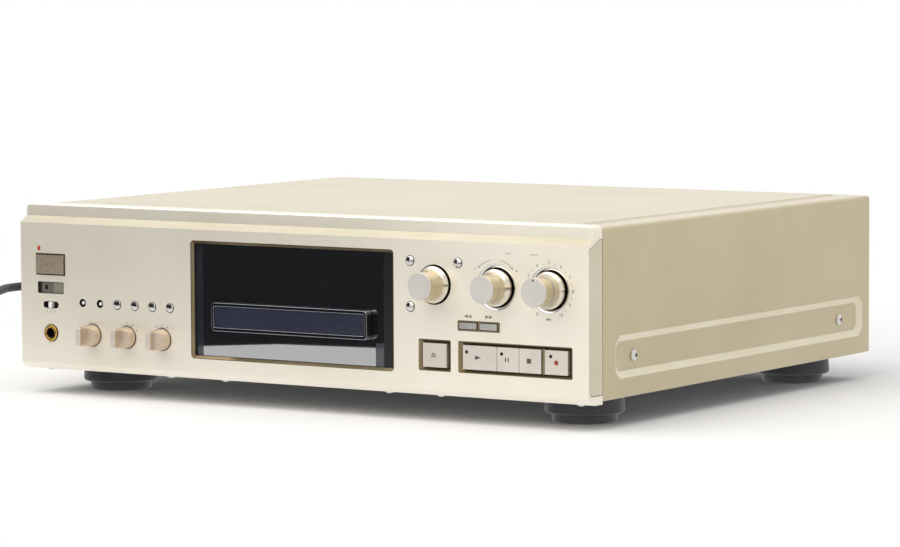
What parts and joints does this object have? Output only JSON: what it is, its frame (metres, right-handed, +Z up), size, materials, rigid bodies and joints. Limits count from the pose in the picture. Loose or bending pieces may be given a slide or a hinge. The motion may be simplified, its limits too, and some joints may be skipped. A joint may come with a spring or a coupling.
{
  "type": "minidisc deck",
  "caption": "Wide, low hi-fi deck for small disc cartridges: a tray in a dark window, turned knobs and press keys on the front, sockets at the back, round feet and a mains lead.",
  "frame": {"origin": "centre of the deck's footprint on the table, without the mains lead", "axes": "+X to the right seen from the front, +Y towards the rear panel, +Z up"},
  "size_m": [0.9642, 0.6501, 0.123],
  "materials": {
    "plated_steel": "zinc plated",
    "rear_paint": "matt black paint",
    "cover_paint": "satin champagne paint",
    "panel_alu": "fine brushed, anodised champagne",
    "black_plastic": "fine grain",
    "bronze_alu": "satin bronze",
    "smoked_glass": "dark, polished",
    "display_glass": "dark display glass",
    "smoked_plastic": "smoked, glossy",
    "gold_plate": "polished",
    "foot_rubber": "matt charcoal",
    "screw_steel": "polished",
    "core_steel": "varnished laminations",
    "circuit_board": "solder resist",
    "motor_can": "plated",
    "cord_rubber": "satin black",
    "tray_plastic": "fine grain",
    "tray_black": "glossy",
    "navy_plastic": "satin dark navy",
    "nylon": "natural",
    "knob_alu": "satin, rose champagne",
    "white_plastic": "smooth",
    "key_chrome": "polished",
    "knob_chrome": "satin"
  },
  "bodies": {
    "deck": {"bottom_chassis": "plated_steel", "rear_panel": "rear_paint", "top_cover": "cover_paint", "front_panel": "panel_alu", "end_caps": "panel_alu", "front_subframe": "black_plastic", "window_bezel": "bronze_alu", "window_glass": "smoked_glass", "display_module": "display_glass", "key_surrounds": "bronze_alu", "ir_window": "smoked_plastic", "phones_jack": "gold_plate", "feet": "foot_rubber", "case_screws": "screw_steel", "transformer": "core_steel", "power_board": "circuit_board", "main_board": "circuit_board", "control_boards": "circuit_board", "mech_frame": "plated_steel", "loading_motor": "motor_can", "rear_jacks": "black_plastic", "strain_relief": "cord_rubber", "cord_lead": "cord_rubber", "cord_coil": "cord_rubber", "plug": "cord_rubber"},
    "tray": {"tray": "tray_plastic", "tray_front": "tray_black", "tray_inset": "navy_plastic"},
    "loading_gear": {"loading_gear": "nylon"},
    "motor_gear": {"motor_gear": "nylon"},
    "traverse": {"traverse": "plated_steel"},
    "turntable": {"turntable": "motor_can"},
    "sled": {"optical_sled": "black_plastic"},
    "lead_screw": {"lead_screw": "screw_steel"},
    "power_key": {"power_key": "knob_alu"},
    "row_key_1": {"row_key_1": "white_plastic"},
    "row_key_2": {"row_key_2": "white_plastic"},
    "row_key_3": {"row_key_3": "key_chrome"},
    "row_key_4": {"row_key_4": "key_chrome"},
    "row_key_5": {"row_key_5": "key_chrome"},
    "row_key_6": {"row_key_6": "key_chrome"},
    "menu_key": {"menu_key": "key_chrome"},
    "yes_key": {"yes_key": "key_chrome"},
    "clear_key": {"clear_key": "key_chrome"},
    "search_back_key": {"search_back_key": "key_chrome"},
    "search_forward_key": {"search_forward_key": "key_chrome"},
    "eject_key": {"eject_key": "knob_alu"},
    "play_key": {"play_key": "knob_alu"},
    "pause_key": {"pause_key": "knob_alu"},
    "stop_key": {"stop_key": "knob_alu"},
    "record_key": {"record_key": "knob_alu"},
    "timer_slider": {"timer_slider": "white_plastic"},
    "phones_knob": {"phones_knob": "knob_alu"},
    "input_knob": {"input_knob": "knob_alu"},
    "mode_knob": {"mode_knob": "knob_alu"},
    "jog_shaft": {"jog_shaft": "screw_steel"},
    "jog_knob": {"jog_knob": "knob_chrome"},
    "digital_knob": {"digital_knob": "knob_chrome"},
    "level_knob": {"level_knob": "knob_chrome"},
    "balance_knob": {"balance_knob": "knob_chrome"}
  },
  "joints": [
    {"name": "tray_slide", "type": "slide", "parent": "deck", "child": "tray", "axis": [0, -1, 0], "range_m": [0, 0.09]},
    {"name": "loading_gear_spin", "type": "hinge", "parent": "deck", "child": "loading_gear", "pos_m": [0.0303, -0.1454, 0.04], "axis": [0, 0, 1], "range_deg": [-645, 0]},
    {"name": "motor_gear_spin", "type": "hinge", "parent": "deck", "child": "motor_gear", "pos_m": [0.0103, -0.1454, 0.038], "axis": [0, 0, 1], "range_deg": [0, 1658]},
    {"name": "disc_drive_lift", "type": "slide", "parent": "deck", "child": "traverse", "axis": [0, 0, 1], "range_m": [0, 0.0055]},
    {"name": "turntable_spin", "type": "hinge", "parent": "traverse", "child": "turntable", "pos_m": [-0.0007, -0.1219, 0.05], "axis": [0, 0, 1], "continuous": true},
    {"name": "sled_slide", "type": "slide", "parent": "traverse", "child": "sled", "axis": [0, 1, 0], "range_m": [0, 0.015]},
    {"name": "lead_screw_spin", "type": "hinge", "parent": "traverse", "child": "lead_screw", "pos_m": [0.0093, -0.0934, 0.047], "axis": [0, 1, 0], "range_deg": [0, 1801]},
    {"name": "power_press", "type": "slide", "parent": "deck", "child": "power_key", "axis": [0, 1, 0], "range_m": [0, 0.0025], "stiffness_N_per_m": 400},
    {"name": "row_key_1_press", "type": "slide", "parent": "deck", "child": "row_key_1", "axis": [0, 1, 0], "range_m": [0, 0.001], "stiffness_N_per_m": 600},
    {"name": "row_key_2_press", "type": "slide", "parent": "deck", "child": "row_key_2", "axis": [0, 1, 0], "range_m": [0, 0.001], "stiffness_N_per_m": 600},
    {"name": "row_key_3_press", "type": "slide", "parent": "deck", "child": "row_key_3", "axis": [0, 1, 0], "range_m": [0, 0.001], "stiffness_N_per_m": 600},
    {"name": "row_key_4_press", "type": "slide", "parent": "deck", "child": "row_key_4", "axis": [0, 1, 0], "range_m": [0, 0.001], "stiffness_N_per_m": 600},
    {"name": "row_key_5_press", "type": "slide", "parent": "deck", "child": "row_key_5", "axis": [0, 1, 0], "range_m": [0, 0.001], "stiffness_N_per_m": 600},
    {"name": "row_key_6_press", "type": "slide", "parent": "deck", "child": "row_key_6", "axis": [0, 1, 0], "range_m": [0, 0.001], "stiffness_N_per_m": 600},
    {"name": "menu_key_press", "type": "slide", "parent": "deck", "child": "menu_key", "axis": [0, 1, 0], "range_m": [0, 0.001], "stiffness_N_per_m": 600},
    {"name": "yes_key_press", "type": "slide", "parent": "deck", "child": "yes_key", "axis": [0, 1, 0], "range_m": [0, 0.001], "stiffness_N_per_m": 600},
    {"name": "clear_key_press", "type": "slide", "parent": "deck", "child": "clear_key", "axis": [0, 1, 0], "range_m": [0, 0.001], "stiffness_N_per_m": 600},
    {"name": "search_back_key_press", "type": "slide", "parent": "deck", "child": "search_back_key", "axis": [0, 1, 0], "range_m": [0, 0.001], "stiffness_N_per_m": 600},
    {"name": "search_forward_key_press", "type": "slide", "parent": "deck", "child": "search_forward_key", "axis": [0, 1, 0], "range_m": [0, 0.001], "stiffness_N_per_m": 600},
    {"name": "eject_key_press", "type": "slide", "parent": "deck", "child": "eject_key", "axis": [0, 1, 0], "range_m": [0, 0.001], "stiffness_N_per_m": 600},
    {"name": "play_key_press", "type": "slide", "parent": "deck", "child": "play_key", "axis": [0, 1, 0], "range_m": [0, 0.001], "stiffness_N_per_m": 600},
    {"name": "pause_key_press", "type": "slide", "parent": "deck", "child": "pause_key", "axis": [0, 1, 0], "range_m": [0, 0.001], "stiffness_N_per_m": 600},
    {"name": "stop_key_press", "type": "slide", "parent": "deck", "child": "stop_key", "axis": [0, 1, 0], "range_m": [0, 0.001], "stiffness_N_per_m": 600},
    {"name": "record_key_press", "type": "slide", "parent": "deck", "child": "record_key", "axis": [0, 1, 0], "range_m": [0, 0.001], "stiffness_N_per_m": 600},
    {"name": "timer_slide", "type": "slide", "parent": "deck", "child": "timer_slider", "axis": [1, 0, 0], "range_m": [-0.0031, 0.0031]},
    {"name": "phones_level_turn", "type": "hinge", "parent": "deck", "child": "phones_knob", "pos_m": [-0.157, -0.1734, 0.0403], "axis": [0, 1, 0], "range_deg": [-150, 150]},
    {"name": "input_turn", "type": "hinge", "parent": "deck", "child": "input_knob", "pos_m": [-0.129, -0.1734, 0.0403], "axis": [0, 1, 0], "range_deg": [-30, 60]},
    {"name": "mode_turn", "type": "hinge", "parent": "deck", "child": "mode_knob", "pos_m": [-0.101, -0.1734, 0.0403], "axis": [0, 1, 0], "range_deg": [-30, 60]},
    {"name": "jog_press", "type": "slide", "parent": "deck", "child": "jog_shaft", "axis": [0, 1, 0], "range_m": [0, 0.0008], "stiffness_N_per_m": 800},
    {"name": "jog_turn", "type": "hinge", "parent": "jog_shaft", "child": "jog_knob", "pos_m": [0.106, -0.1734, 0.0841], "axis": [0, 1, 0], "continuous": true},
    {"name": "digital_turn", "type": "hinge", "parent": "deck", "child": "digital_knob", "pos_m": [0.1504, -0.1734, 0.0841], "axis": [0, 1, 0], "continuous": true},
    {"name": "level_turn", "type": "hinge", "parent": "deck", "child": "level_knob", "pos_m": [0.188, -0.1734, 0.0841], "axis": [0, 1, 0], "range_deg": [-150, 150]},
    {"name": "balance_turn", "type": "hinge", "parent": "deck", "child": "balance_knob", "pos_m": [0.188, -0.1734, 0.0841], "axis": [0, 1, 0], "range_deg": [-150, 150]}
  ],
  "couplings": [
    {"joint": "loading_gear_spin", "follows": "tray_slide", "rad_per_m": -125},
    {"joint": "motor_gear_spin", "follows": "tray_slide", "rad_per_m": 321.43},
    {"joint": "lead_screw_spin", "follows": "sled_slide", "rad_per_m": 2094.4}
  ]
}
